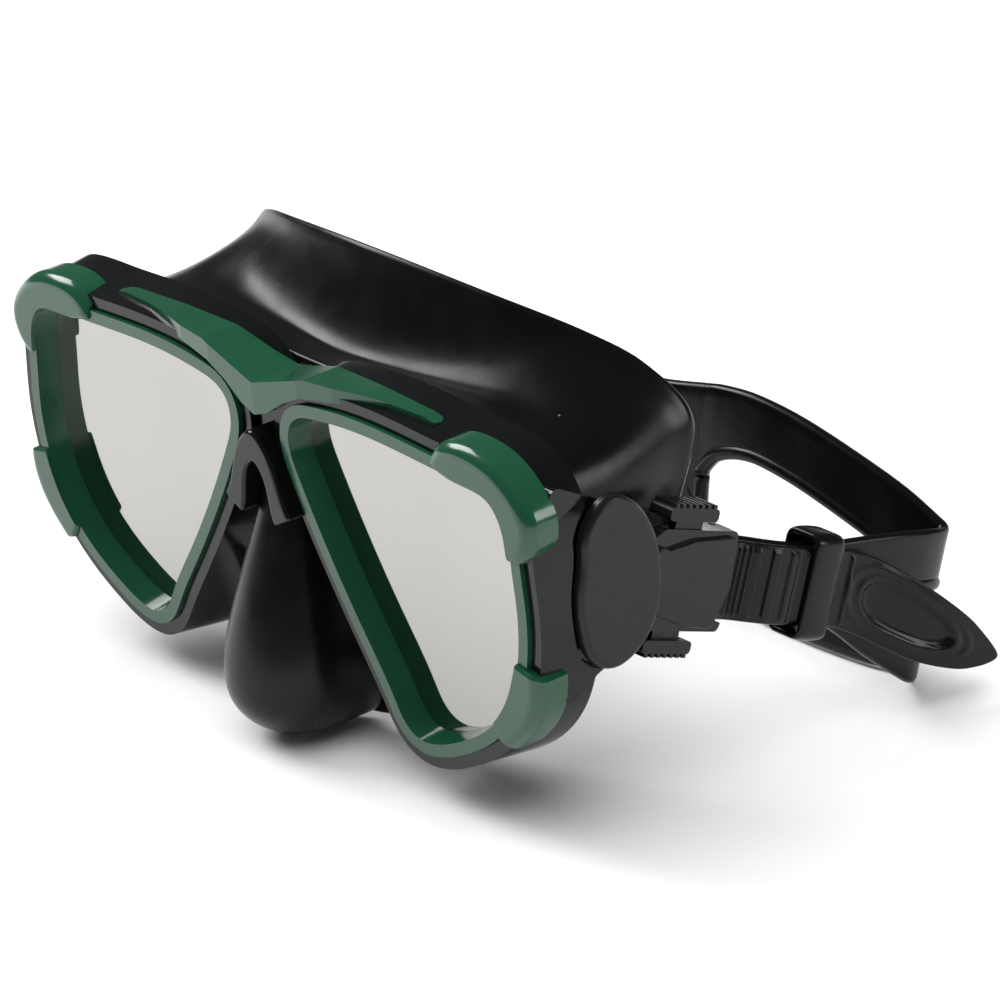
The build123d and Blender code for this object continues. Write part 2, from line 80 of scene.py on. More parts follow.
def mesh_object(name, rows, wrap_rows=False, wrap_columns=False, extra_faces=()):
    """Object from a grid of points, quads between neighbours."""
    wide = len(rows[0])
    points = [point for row in rows for point in row]
    faces = []
    for i in range(len(rows) if wrap_rows else len(rows) - 1):
        for j in range(wide if wrap_columns else wide - 1):
            a = i * wide + j
            b = i * wide + (j + 1) % wide
            below = (i + 1) % len(rows) * wide
            faces.append((a, b, below + (j + 1) % wide, below + j))
    faces.extend(extra_faces)
    mesh = bpy.data.meshes.new(name)
    mesh.from_pydata(points, [], faces)
    mesh.update()
    for face in mesh.polygons:
        face.use_smooth = True
    piece = bpy.data.objects.new(name, mesh)
    bpy.context.scene.collection.objects.link(piece)
    return piece


def outward(piece):
    """Makes the faces' normals point out of a closed piece."""
    work = bmesh.new()
    work.from_mesh(piece.data)
    bmesh.ops.recalc_face_normals(work, faces=work.faces)
    work.to_mesh(piece.data)
    work.free()


def capped(name, rows):
    """Closed shell through a stack of loops, with a face over each end."""
    wide = len(rows[0])
    ends = (tuple(range(wide)), tuple((len(rows) - 1) * wide + k for k in range(wide)))
    shell = mesh_object(name, rows, wrap_columns=True, extra_faces=ends)
    outward(shell)
    return shell


def apply_modifiers(piece):
    bpy.context.view_layer.update()
    graph = bpy.context.evaluated_depsgraph_get()
    mesh = bpy.data.meshes.new_from_object(piece.evaluated_get(graph))
    piece.modifiers.clear()
    piece.data = mesh
    for face in mesh.polygons:
        face.use_smooth = True


def subdivided(piece):
    modifier = piece.modifiers.new("smooth", "SUBSURF")
    modifier.levels = 1
    modifier.render_levels = 1
    apply_modifiers(piece)


def joined(name, pieces):
    """One piece made of several closed shells of the same material."""
    points, faces = [], []
    for piece in pieces:
        start = len(points)
        points.extend(v.co.copy() for v in piece.data.vertices)
        faces.extend(tuple(start + v for v in face.vertices) for face in piece.data.polygons)
        bpy.data.objects.remove(piece)
    mesh = bpy.data.meshes.new(name)
    mesh.from_pydata(points, [], faces)
    for face in mesh.polygons:
        face.use_smooth = True
    piece = bpy.data.objects.new(name, mesh)
    bpy.context.scene.collection.objects.link(piece)
    return piece


def tube(name, path, normals, radius, sides=10):
    """Round bead along a closed list of frame points that lie on a sheet, with the sheet's normals."""
    rows = []
    count = len(path)
    for i, point in enumerate(path):
        run = (path[(i + 1) % count] - path[i - 1]).normalized()
        side = (normals[i] - run * normals[i].dot(run)).normalized()
        up = side.cross(run)
        rows.append([point + radius * (math.cos(a) * side + math.sin(a) * up)
                     for a in (2 * math.pi * k / sides for k in range(sides))])
    piece = mesh_object(name, rows, wrap_rows=True, wrap_columns=True)
    outward(piece)
    return piece


# ---------------------------------------------------------------- materials
COLOUR_A, COLOUR_B = 6, 7            # a colour mix's input sockets
COLOUR_OUT = 2
DUST_COLOUR = (0.25, 0.24, 0.22, 1)


def new_material(name):
    made = bpy.data.materials.new(name)
    made.use_nodes = True
    tree = made.node_tree
    shader = tree.nodes["Principled BSDF"]
    position = tree.nodes.new("ShaderNodeTexCoord")
    return made, tree, shader, position.outputs["Object"]


def noise_node(tree, place, scale, detail=3.0, stretch=None):
    """Noise over object space, its scale in cycles per metre."""
    texture = tree.nodes.new("ShaderNodeTexNoise")
    texture.inputs["Scale"].default_value = scale
    texture.inputs["Detail"].default_value = detail
    if stretch:
        mapping = tree.nodes.new("ShaderNodeMapping")
        mapping.inputs["Scale"].default_value = stretch
        tree.links.new(place, mapping.inputs["Vector"])
        place = mapping.outputs["Vector"]
    tree.links.new(place, texture.inputs["Vector"])
    return texture.outputs["Fac"]


def ramp(tree, value, low, high, low_value, high_value):
    """Maps a value's range low..high onto low_value..high_value."""
    node = tree.nodes.new("ShaderNodeMapRange")
    node.inputs["From Min"].default_value = low
    node.inputs["From Max"].default_value = high
    node.inputs["To Min"].default_value = low_value
    node.inputs["To Max"].default_value = high_value
    tree.links.new(value, node.inputs["Value"])
    return node.outputs["Result"]


def colour_mix(tree, factor, first, second):
    node = tree.nodes.new("ShaderNodeMix")
    node.data_type = "RGBA"
    node.inputs[COLOUR_A].default_value = (*first, 1)
    node.inputs[COLOUR_B].default_value = (*second, 1)
    tree.links.new(factor, node.inputs["Factor"])
    return node.outputs[COLOUR_OUT]


def bump(tree, shader, height, strength, distance):
    node = tree.nodes.new("ShaderNodeBump")
    node.inputs["Strength"].default_value = strength
    node.inputs["Distance"].default_value = distance
    tree.links.new(height, node.inputs["Height"])
    tree.links.new(node.outputs["Normal"], shader.inputs["Normal"])


def specks(tree, place, scale, size):
    """1 at small scattered spots, 0 elsewhere."""
    cells = tree.nodes.new("ShaderNodeTexVoronoi")
    cells.inputs["Scale"].default_value = scale
    tree.links.new(place, cells.inputs["Vector"])
    return ramp(tree, cells.outputs["Distance"], size * 0.6, size, 1.0, 0.0)


def plastic(name, colour, rough, coat, shine, grain, grain_depth, tint=0.25):
    """Moulded plastic: slight colour drift, handling marks in the gloss, fine surface grain."""
    made, tree, shader, place = new_material(name)
    drift = noise_node(tree, place, 60, 4)
    darker = tuple(c * (1 - tint) for c in colour)
    lighter = tuple(c * (1 + tint) for c in colour)
    tree.links.new(colour_mix(tree, drift, darker, lighter), shader.inputs["Base Color"])
    marks = noise_node(tree, place, 260, 6, (1, 1, 3))
    tree.links.new(ramp(tree, marks, 0.35, 0.75, rough * 0.8, rough * 1.35), shader.inputs["Roughness"])
    shader.inputs["Coat Weight"].default_value = coat
    shader.inputs["Coat Roughness"].default_value = 0.08
    shader.inputs["Specular IOR Level"].default_value = shine
    bump(tree, shader, noise_node(tree, place, grain, 2), grain_depth, 0.0001)
    return made


def silicone(name, colour, rough, dusty):
    """Glossy silicone: soft waves of the moulding, a little dust that clings to it."""
    made, tree, shader, place = new_material(name)
    dust = specks(tree, place, 150, 0.07)
    drift = noise_node(tree, place, 35, 3)
    base = colour_mix(tree, drift, tuple(c * 0.7 for c in colour), tuple(c * 1.4 for c in colour))
    mix = tree.nodes.new("ShaderNodeMix")
    mix.data_type = "RGBA"
    mix.inputs[COLOUR_B].default_value = DUST_COLOUR
    tree.links.new(base, mix.inputs[COLOUR_A])
    rare = ramp(tree, noise_node(tree, place, 90, 1), 0.62, 0.66, 0.0, dusty)
    both = tree.nodes.new("ShaderNodeMath")
    both.operation = "MULTIPLY"
    tree.links.new(dust, both.inputs[0])
    tree.links.new(rare, both.inputs[1])
    tree.links.new(both.outputs[0], mix.inputs["Factor"])
    tree.links.new(mix.outputs[COLOUR_OUT], shader.inputs["Base Color"])
    film = noise_node(tree, place, 120, 5)
    tree.links.new(ramp(tree, film, 0.3, 0.75, rough * 0.8, rough * 1.3), shader.inputs["Roughness"])
    shader.inputs["Specular IOR Level"].default_value = 0.24
    bump(tree, shader, noise_node(tree, place, 420, 3), 0.06, 0.0001)
    return made


def mirror_glass(name):
    """Neutral silver coating on flat glass, with wiping marks and a few hairline scratches."""
    made, tree, shader, place = new_material(name)
    haze = noise_node(tree, place, 30, 4)
    tree.links.new(colour_mix(tree, haze, (0.385, 0.38, 0.352), (0.42, 0.414, 0.385)), shader.inputs["Base Color"])
    shader.inputs["Metallic"].default_value = 1.0
    hair = noise_node(tree, place, 900, 2, (0.05, 1, 1))
    tree.links.new(ramp(tree, hair, 0.72, 0.76, 0.04, 0.14), shader.inputs["Roughness"])
    shader.inputs["Coat Weight"].default_value = 0.3
    shader.inputs["Coat Roughness"].default_value = 0.02
    return made


def metal(name):
    made, tree, shader, place = new_material(name)
    turned = noise_node(tree, place, 1500, 3, (1, 1, 8))
    tree.links.new(colour_mix(tree, turned, (0.5, 0.5, 0.5), (0.68, 0.68, 0.67)), shader.inputs["Base Color"])
    shader.inputs["Metallic"].default_value = 1.0
    tree.links.new(ramp(tree, turned, 0.3, 0.7, 0.18, 0.4), shader.inputs["Roughness"])
    bump(tree, shader, turned, 0.15, 0.0001)
    return made


black_gloss = plastic("black_gloss", (0.004, 0.0045, 0.0045), rough=0.12, coat=0.0, shine=0.32,
                      grain=500, grain_depth=0.04)
green = plastic("green", (0.008, 0.066, 0.03), rough=0.18, coat=0.2, shine=0.45,
                grain=600, grain_depth=0.03, tint=0.12)
black_satin = plastic("black_satin", (0.006, 0.0063, 0.0064), rough=0.36, coat=0.0, shine=0.32,
                      grain=3500, grain_depth=0.2)
skirt_rubber = silicone("skirt_rubber", (0.003, 0.003, 0.0032), rough=0.27, dusty=1.0)
strap_rubber = silicone("strap_rubber", (0.003, 0.003, 0.0032), rough=0.25, dusty=0.5)
lens_coating = mirror_glass("lens_coating")
steel = metal("steel")

NODE_LOOKS = {
    "frame": black_gloss, "nose_clip": black_gloss, "buckle_body": black_gloss,
    "rim": green, "bridge_trim": green,
    "side_cap": black_satin, "buckle_cover": black_satin, "upper_button": black_satin,
    "lower_button": black_satin, "roller": black_satin,
    "lens": lens_coating,
    "pivot_pin": steel, "roller_pin": steel, "upper_spring": steel, "lower_spring": steel,
}


def dress(piece, look):
    piece.data.materials.clear()
    piece.data.materials.append(look)


for node_name, node in nodes.items():
    kind = node_name.removesuffix("_left").removesuffix("_right")
    if kind in NODE_LOOKS:
        dress(node, NODE_LOOKS[kind])

# ---------------------------------------------------------------- skirt
HEAD_RADIUS = 105.0
HEAD_FRONT = 32.0                    # where the face touches the forehead edge
HEAD_TOP = 18.0
HEAD_SLOPE = math.tan(math.radians(12.0))
HEAD_SIDE = 90                       # the face is taken as flat beyond this far from the middle
SKIRT_FRONT_Y = 14.2
WALL = 1.8
WALL_THINNING = 0.5                  # how much thinner the wall is at its rear edge
WALL_STEPS = 16
STRAIGHT = 0.38                      # share of the wall's depth that keeps the front outline
FLARE_POWER = 1.35
LIP = 0.9                            # outward lip at the rear edge
LIP_WIDTH = 0.06                     # as a share of the wall's depth
FLAP = 10.5                          # inward reach of the sealing flap
NOSE_FLAP = 1.2                      # the same at the nose, where it fades away
NOSE_FLAP_TOP = -60
NOSE_FLAP_SIDE = 30
NOSE_FLAP_FADE = 16
FLAP_STEPS = 5
FLAP_CURL = 1.4
OUTLINE_STEPS = 9
# Left half of the front outline, (x, z), from the middle of the forehead down to the nose.
SKIRT_FRONT = [(0, 0.2), (20, 0.6), (45, 0.8), (60, -1.0), (69, -8), (71.2, -24), (67.5, -42), (58, -55),
               (45, -62), (34, -61), (26, -61.5), (18, -66), (9, -71), (0, -72.6)]
# The rear edge at the same stations, (x, y, z).
SKIRT_EDGE = [(0, 32, 18), (29, 35.6, 15.4), (49, 43, 10.2), (59.5, 49.2, 4), (66, 54.2, -7), (67.2, 48, -22),
              (65.2, 41.5, -40), (57, 33.5, -56), (41, 26, -64.5), (29, 21, -69.5), (19, 17.5, -72), (12, 15.5, -73),
              (6, 14.5, -73.6), (0, 14, -73.8)]


def face_y(x, z):
    """Surface of the face that the skirt's edge follows."""
    x = min(abs(x), HEAD_SIDE)
    return HEAD_FRONT + HEAD_RADIUS - math.sqrt(HEAD_RADIUS ** 2 - x * x) - HEAD_SLOPE * (HEAD_TOP - z)


def both_halves(points):
    return points + [(-x, *rest) for x, *rest in reversed(points[1:-1])]


def skirt_column(front, edge, before, after):
    """Closed section of the wall: outer side, rolled edge, inward sealing flap, inner side."""
    fx, fz = front
    ex, ey, ez = edge
    run_x, run_z = after[0] - before[0], after[2] - before[2]
    length = math.hypot(run_x, run_z)
    nx, nz = -run_z / length, run_x / length
    lag = ey - face_y(ex, ez)

    def on_face(inward, lift):
        x, z = ex - nx * inward, ez - nz * inward
        return x, lag + face_y(x, z) + lift, z

    nose = max(0.0, min(1.0, (NOSE_FLAP_SIDE - abs(ex)) / NOSE_FLAP_FADE)) if ez < NOSE_FLAP_TOP else 0.0
    flap = FLAP * (1 - nose) + NOSE_FLAP * nose
    outer = []
    for k in range(WALL_STEPS + 1):
        t = k / WALL_STEPS
        rise = max(0.0, (t - STRAIGHT) / (1 - STRAIGHT)) ** FLARE_POWER
        lip = LIP * math.exp(-((t - 1) / LIP_WIDTH) ** 2)
        outer.append((fx + (ex - fx) * rise + nx * lip, SKIRT_FRONT_Y + (ey - SKIRT_FRONT_Y) * t,
                      fz + (ez - fz) * rise + nz * lip, t))
    column = [(x, y, z) for x, y, z, t in outer]
    # Over the rolled edge, out along the flap's rear face and back along its front one.
    column.append((ex - nx * 0.2, ey + 0.9, ez - nz * 0.2))
    column.append(on_face(1.6, 0.9))
    for k in range(1, FLAP_STEPS + 1):
        inward = 1.6 + (flap - 1.6) * k / FLAP_STEPS if flap > 1.6 else 1.6 + 0.05 * k
        column.append(on_face(inward, 0.5 - FLAP_CURL * (k / FLAP_STEPS) ** 2))
    for k in range(FLAP_STEPS, -1, -1):
        inward = 2.4 + (flap - 2.6) * k / FLAP_STEPS if flap > 2.6 else 1.9 + 0.04 * k
        root = 0.4 if k == 0 else 0
        column.append(on_face(inward, -0.5 - FLAP_CURL * (k / FLAP_STEPS) ** 2 - root))
    for x, y, z, t in reversed(outer[:-2]):
        thick = WALL - WALL_THINNING * t
        column.append((x - nx * thick, y, z - nz * thick))
    return [at(*p) for p in column]


def skirt_ring():
    """Closed wall round the face."""
    front = smooth(both_halves(SKIRT_FRONT), OUTLINE_STEPS, closed=True)
    edge = smooth(both_halves(SKIRT_EDGE), OUTLINE_STEPS, closed=True)
    columns = [skirt_column(front[i], edge[i], edge[i - 1], edge[(i + 1) % len(edge)]) for i in range(len(edge))]
    ring = mesh_object("skirt_ring", columns, wrap_rows=True, wrap_columns=True)
    outward(ring)
    return ring


# Nose pocket: height, front, half width, and how far its flanks reach back.
NOSE = [(-17, 6.5, 3.0, 20), (-22, 4.0, 4.0, 20), (-28, 1.4, 5.2, 20), (-35, -1.4, 6.8, 20), (-46, -5.6, 9.3, 20),
        (-55, -8.4, 11.4, 20), (-61, -9.4, 12.3, 20), (-66, -9.0, 11.9, 20), (-69.6, -6.8, 10.2, 19),
        (-71.9, -3.2, 7.6, 18), (-73.2, 1.5, 4.6, 16), (-73.8, 6.0, 1.4, 13)]
NOSE_STEPS = 5
FLANK_POINTS = 5
FLANK_SPREAD = 0.6                   # how much wider the flanks are at the back
FRONT_SPANS = 16
FRONT_POWER = 0.9


def nose_pocket():
    rows = []
    for z, front, half, back in smooth(NOSE, NOSE_STEPS):
        flank = [(half + FLANK_SPREAD * (1 - k / (FLANK_POINTS - 1)),
                  back - (back - front - half) * k / FLANK_POINTS, z) for k in range(FLANK_POINTS)]
        row = [(-x, y, z) for x, y, z in flank]
        for k in range(FRONT_SPANS + 1):
            angle = math.pi * k / FRONT_SPANS
            row.append((-half * math.cos(angle), front + half * (1 - math.sin(angle) ** FRONT_POWER), z))
        rows.append([at(*p) for p in row + flank[::-1]])
    pocket = mesh_object("nose", rows)
    thick = pocket.modifiers.new("wall", "SOLIDIFY")
    thick.thickness = WALL / 1000
    thick.offset = -1
    apply_modifiers(pocket)
    outward(pocket)
    return pocket


def make_skirt():
    ring = skirt_ring()
    subdivided(ring)
    pocket = nose_pocket()
    subdivided(pocket)
    skirt = joined("soft_skirt", [ring, pocket])
    dress(skirt, skirt_rubber)
    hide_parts("skirt")
    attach(skirt, "mask")


make_skirt()

# ---------------------------------------------------------------- strap
DROP = math.radians(21)              # the buckles hang this far below level
PIVOT = (18.0, -23.0)
ROLLER_U = 29.6
ROLLER_X = 75.8
ROLLER_RADIUS = 2.0
ROLLER_GAP = 0.25
STRAP_THICK = 2.2
STRAP_HALF = 7.8
WRAP_RADIUS = ROLLER_RADIUS + ROLLER_GAP + STRAP_THICK / 2
OUTER_X = ROLLER_X + WRAP_RADIUS
WRAP_STEPS = 14


def buckle(u, v):
    """Buckle coordinates, along and across, to the datum's (y, z)."""
    return (PIVOT[0] + u * math.cos(DROP) + v * math.sin(DROP),
            PIVOT[1] - u * math.sin(DROP) + v * math.cos(DROP))


# Stations of the band from the left roller round to the right one. Each is the plan position of its top
# edge and of its bottom edge, then four heights: top, top and bottom of the split, bottom.
BAND = [
    (72.45, 48.4, 72.45, 42.8, -26.3, -33.6, -33.6, -40.9),
    (72.6, 51.4, 72.6, 46.0, -27.5, -35.0, -35.0, -42.2),
    (75.6, 57.0, 75.2, 51.5, -29.6, -37.1, -37.1, -44.3),
    (78.4, 63.5, 78.4, 57.8, -32.1, -39.6, -39.6, -46.8),
    (78.4, 71.0, 78.4, 65.5, -35.0, -42.6, -42.6, -49.9),
    (78.4, 78.0, 78.4, 74.0, -37.2, -46.5, -46.5, -54.6),
    (79.0, 86.0, 79.2, 82.0, -38.9, -50.0, -52.5, -63.0),
    (79.6, 95.0, 79.6, 90.0, -41.0, -52.6, -59.5, -70.6),
    (79.4, 102.5, 78.8, 94.6, -43.2, -54.6, -63.0, -74.4),
    (77.6, 108.0, 76.6, 97.6, -45.0, -56.4, -64.2, -75.4),
    (73.6, 108.6, 72.0, 98.6, -43.4, -56.0, -64.4, -75.5),
    (66.0, 107.6, 64.0, 97.0, -39.4, -52.0, -65.0, -75.5),
    (52.0, 106.6, 51.0, 96.0, -35.0, -47.6, -64.8, -75.5),
    (38.0, 106.0, 37.0, 96.0, -31.8, -44.4, -64.4, -75.2),
    (26.0, 105.4, 25.0, 97.0, -30.4, -43.4, -63.6, -74.4),
    (17.0, 105.0, 16.0, 98.0, -30.8, -45.8, -62.0, -73.4),
    (12.4, 104.8, 11.6, 98.6, -31.6, -50.4, -59.2, -72.8),
    (10.8, 104.7, 10.4, 98.8, -31.9, -54.6, -55.4, -72.5),
    (-2.0, 104.0, -2.0, 100.0, -34.2, -52.0, -52.0, -69.0),
    (-20.0, 103.4, -20.0, 101.2, -36.0, -47.0, -47.0, -59.0),
    (-40.0, 101.8, -40.0, 100.4, -34.4, -42.6, -42.6, -51.4),
    (-56.0, 97.8, -56.0, 97.0, -32.4, -40.6, -40.6, -49.0),
    (-68.0, 91.6, -68.0, 90.0, -32.0, -40.4, -40.4, -48.8),
    (-75.0, 84.0, -75.0, 81.0, -33.4, -41.8, -41.8, -50.2),
    (-78.2, 77.0, -78.2, 73.0, -34.0, -42.6, -42.6, -50.8),
    (-78.4, 71.0, -78.4, 65.5, -35.0, -42.6, -42.6, -49.9),
    (-78.4, 63.5, -78.4, 57.8, -32.1, -39.6, -39.6, -46.8),
    (-75.6, 57.0, -75.2, 51.5, -29.6, -37.1, -37.1, -44.3),
    (-72.6, 51.4, -72.6, 46.0, -27.5, -35.0, -35.0, -42.2),
    (-72.45, 48.4, -72.45, 42.8, -26.3, -33.6, -33.6, -40.9),
]
TOP_X, TOP_Y, LOW_X, LOW_Y, TOP, SPLIT_TOP, SPLIT_LOW, LOW = range(8)
BAND_STEPS = 10
SIDE_STEPS = 8                       # points down each side of a strip's section
EDGE_ROUND = 0.9
SEAM_ROUND = 0.12                    # edge of a strip where it lies flush against the other one
CLOSED_GAP = 0.15                    # a split lower than this is closed up
OPEN_GAP = 0.3                       # one higher than this has rounded edges and a bead
SEAM_OVERLAP = 0.02
BEAD_RADIUS = 0.00165                # metres
BEAD_STEP = 0.0021                   # metres between the points that the split's bead is drawn through
BEAD_INSET = 0.3
ROUND_END = 4.2                      # height of the split where its bead turns back round the closed end
WEB_STATIONS = 14                    # solid web that backs the split's round end
WEB_HALF = 3.0
WEB_THICK = STRAP_THICK - 0.03


def split_gap(station):
    return station[SPLIT_TOP] - station[SPLIT_LOW]


def band_point(station, height):
    """Point on the middle of the band's leaning sheet."""
    t = (station[TOP] - height) / (station[TOP] - station[LOW])
    return Vector((station[TOP_X] + (station[LOW_X] - station[TOP_X]) * t,
                   station[TOP_Y] + (station[LOW_Y] - station[TOP_Y]) * t, height))


def through_band(stations, i):
    """Level direction through the band's thickness."""
    before = stations[max(i - 1, 0)]
    after = stations[min(i + 1, len(stations) - 1)]
    return Vector((after[TOP_Y] - before[TOP_Y], before[TOP_X] - after[TOP_X], 0)).normalized()


def section_points(high, low, upper, open_here):
    """Rounded outline of one strip, as (height, -1..1 across its thickness); square where two strips meet."""
    tall = high - low
    soft = min(EDGE_ROUND, tall * 0.3)
    top_round = soft if upper or open_here else SEAM_ROUND
    low_round = SEAM_ROUND if upper and not open_here else soft
    points = []
    for side in (1, -1):
        for k in range(SIDE_STEPS + 1):
            t = k / SIDE_STEPS if side > 0 else 1 - k / SIDE_STEPS
            points.append((high - top_round - (tall - top_round - low_round) * t, side))
        round_size = low_round if side > 0 else top_round
        for angle in (45, 90, 135):
            sunk = round_size * (1 - math.sin(math.radians(angle)))
            spread = math.cos(math.radians(angle)) * side
            if round_size == SEAM_ROUND and angle != 90:
                spread = math.copysign(1.0, spread)
            points.append((low + sunk if side > 0 else high - sunk, spread))
    return points


def band_loop(stations, i, thick, section):
    """Points of the frame round a section of the band."""
    out = through_band(stations, i)
    return [at(*(band_point(stations[i], height) + out * offset * thick / 2)) for height, offset in section]


def make_strip(stations, upper):
    """One of the two strips that part at the split."""
    rows = []
    for i, station in enumerate(stations):
        split_top, split_low = station[SPLIT_TOP], station[SPLIT_LOW]
        if split_gap(station) < CLOSED_GAP:
            middle = (split_top + split_low) / 2
            split_top, split_low = middle - SEAM_OVERLAP, middle + SEAM_OVERLAP
        high, low = (station[TOP], split_top) if upper else (split_low, station[LOW])
        section = section_points(high, low, upper, split_gap(station) > OPEN_GAP)
        rows.append(band_loop(stations, i, STRAP_THICK, section))
    return capped("strip", rows)


def make_web(stations, last):
    """Solid web that fills in behind the split's closed end."""
    rows = []
    for i in range(last, last + WEB_STATIONS):
        middle = (stations[i][SPLIT_TOP] + stations[i][SPLIT_LOW]) / 2
        section = section_points(middle + WEB_HALF, middle - WEB_HALF, True, True)
        rows.append(band_loop(stations, i, WEB_THICK, section))
    return capped("web", rows)


def make_bead(stations, first, last):
    """Round bead along the split's edge, out along its upper side and back along the lower one."""
    edge = [(at(*band_point(stations[i], stations[i][SPLIT_TOP] + BEAD_INSET)), through_band(stations, i))
            for i in range(first, last + 1)]
    edge += [(at(*band_point(stations[i], stations[i][SPLIT_LOW] - BEAD_INSET)), through_band(stations, i))
             for i in range(last, first - 1, -1)]
    start = edge[0][0]
    knots = [edge[0]]
    for point, out in edge[1:]:
        if (point - knots[-1][0]).length > BEAD_STEP and (point - start).length > BEAD_STEP / 2:
            knots.append((point, out))
    path = smooth([(*point, *out) for point, out in knots], 3, closed=True)
    return tube("bead", [Vector(p[:3]) for p in path], [Vector(p[3:]) for p in path], BEAD_RADIUS)


def make_band():
    """The shells of the band: two strips, the web at the split's end and the bead round the split."""
    stations = smooth(BAND, BAND_STEPS)
    gaps = [split_gap(station) for station in stations]
    widest = gaps.index(max(gaps))
    first = max(i for i in range(widest) if gaps[i] <= OPEN_GAP) + 1
    last = min(i for i in range(widest, len(gaps)) if gaps[i] <= ROUND_END) - 1
    return [make_strip(stations, True), make_strip(stations, False), make_web(stations, last),
            make_bead(stations, first, last)]


def wrap_outline():
    """Section of the narrow strap, as (across, offset)."""
    half = STRAP_HALF
    thick = STRAP_THICK / 2
    across = [half - 0.8 - (2 * half - 1.6) * k / 12 for k in range(13)]
    edge = [(half - 0.25, 0.35 - thick), (half, 0.0), (half - 0.25, thick - 0.35)]
    return ([(v, thick) for v in across] + [(-v, -offset) for v, offset in edge]
            + [(-v, -thick) for v in across] + edge)


def wrap_shell(side):
    """Half turn of the strap round a roller, in front of its axis."""
    rows = []
    for k in range(WRAP_STEPS + 1):
        angle = math.pi * k / WRAP_STEPS
        row = []
        for v, offset in wrap_outline():
            radius = WRAP_RADIUS - offset
            y, z = buckle(ROLLER_U - radius * math.sin(angle), v)
            row.append(at(side * (ROLLER_X - radius * math.cos(angle)), y, z))
        rows.append(row)
    return capped("wrap", rows)


# Free end of the strap: plan position, distance from the buckle's roller, half width and its slope.
TAIL = [(OUTER_X, 0.0, 7.8, 0.0), (OUTER_X, 5.0, 7.8, 0.0), (81.1, 10.8, 7.8, 0.0), (82.0, 15.5, 7.8, 0.0),
        (82.05, 24.0, 7.8, 0.0), (82.05, 31.0, 7.8, -0.2), (83.2, 38.6, 8.0, -1.7), (85.4, 45.4, 7.9, -3.9),
        (87.8, 52.4, 7.3, -6.2), (90.0, 60.4, 5.5, -8.5), (91.0, 65.4, 3.3, -9.8), (91.5, 68.2, 1.5, -10.4),
        (91.6, 69.3, 0.3, -10.6)]
TAIL_STEPS = 24
TAIL_ACROSS = 28
EDGE_POWER = 9                       # the higher, the squarer the tail's long edges
RIB_MARGIN = 0.9
FINE_REACH, FINE_PITCH, FINE_HEIGHT = 7.5, 1.35, 0.55
WIDE_REACH, WIDE_PITCH, WIDE_HEIGHT = 33, 4.1, 0.5


def rib_height(distance):
    """Ribs of the grip side: fine and close by the roller, wider further on, none past the keeper."""
    if distance < FINE_REACH:
        phase = distance / FINE_PITCH % 1
        return FINE_HEIGHT * max(0.0, math.sin(math.pi * phase)) ** 0.7
    phase = (distance - FINE_REACH) / WIDE_PITCH % 1
    if distance < WIDE_REACH and phase < 0.5:
        return WIDE_HEIGHT * min(1.0, 2.4 * max(0.0, math.sin(2 * math.pi * phase)) ** 0.8)
    return 0.0


def oval(distance, v, half):
    """Depth of the recess and its raised rim on the tail's end."""
    if half <= 3:
        return 0.0
    wide = 5.4 - 0.09 * max(0.0, distance - 40)
    reach = ((abs(distance - 47.5) / 11.5) ** 2.6 + (abs(v) / wide) ** 2.2) ** 0.42
    rim = 0.45 * math.exp(-((reach - 1.0) / 0.09) ** 2)
    second = 0.3 * math.exp(-((reach - 1.28) / 0.08) ** 2)
    hollow = -0.75 / (1 + math.exp((reach - 0.88) * 30))
    return rim + second + hollow


def tail_shell(side):
    """Ribbed tail, with a rimmed oval recess in its pointed end."""
    rows = []
    stations = smooth(TAIL, TAIL_STEPS)
    for i, (x, distance, half, sag) in enumerate(stations):
        before = stations[max(i - 1, 0)]
        after = stations[min(i + 1, len(stations) - 1)]
        run_x, run_u = after[0] - before[0], after[1] - before[1]
        length = math.hypot(run_x, run_u) or 1
        out_x, out_u = run_u / length, -run_x / length
        row = []
        for face, across in ((1, range(TAIL_ACROSS + 1)), (-1, range(1, TAIL_ACROSS))):
            for k in across:
                t = (1 - 2 * k / TAIL_ACROSS) * face
                v = half * math.sin(t * math.pi / 2)
                offset = STRAP_THICK / 2 * max(0.0, 1 - abs(t) ** EDGE_POWER) ** 0.5
                if face > 0:
                    rib = rib_height(distance) if abs(v) < half - RIB_MARGIN else 0.0
                    offset += rib + oval(distance, v, half)
                y, z = buckle(ROLLER_U + distance + face * offset * out_u, v + sag)
                row.append(at(side * (x + face * offset * out_x), y, z))
        rows.append(row)
    return capped("tail", rows)


def make_strap():
    shells = make_band()
    for side in (1, -1):
        shells.append(wrap_shell(side))
        shells.append(tail_shell(side))
    strap = joined("soft_strap", shells)
    dress(strap, strap_rubber)
    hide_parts("strap")
    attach(strap, "left_buckle")


make_strap()

# ---------------------------------------------------------------- keepers
KEEPER_U = 54.0
KEEPER_WIDTH = 7.6
KEEPER_WALL = 1.4
KEEPER_X = (76.9, 83.5)
KEEPER_HALF = STRAP_HALF + 1.4
KEEPER_CORNER = 1.6
KEEPER_CROWN = 0.25
KEEPER_ROUND = 24                    # points round the section of its wall
KEEPER_SQUARE = 0.45                 # the lower, the squarer that section


def squared(value):
    """A sine or cosine bent towards a square wave."""
    return math.copysign(abs(value) ** KEEPER_SQUARE, value)


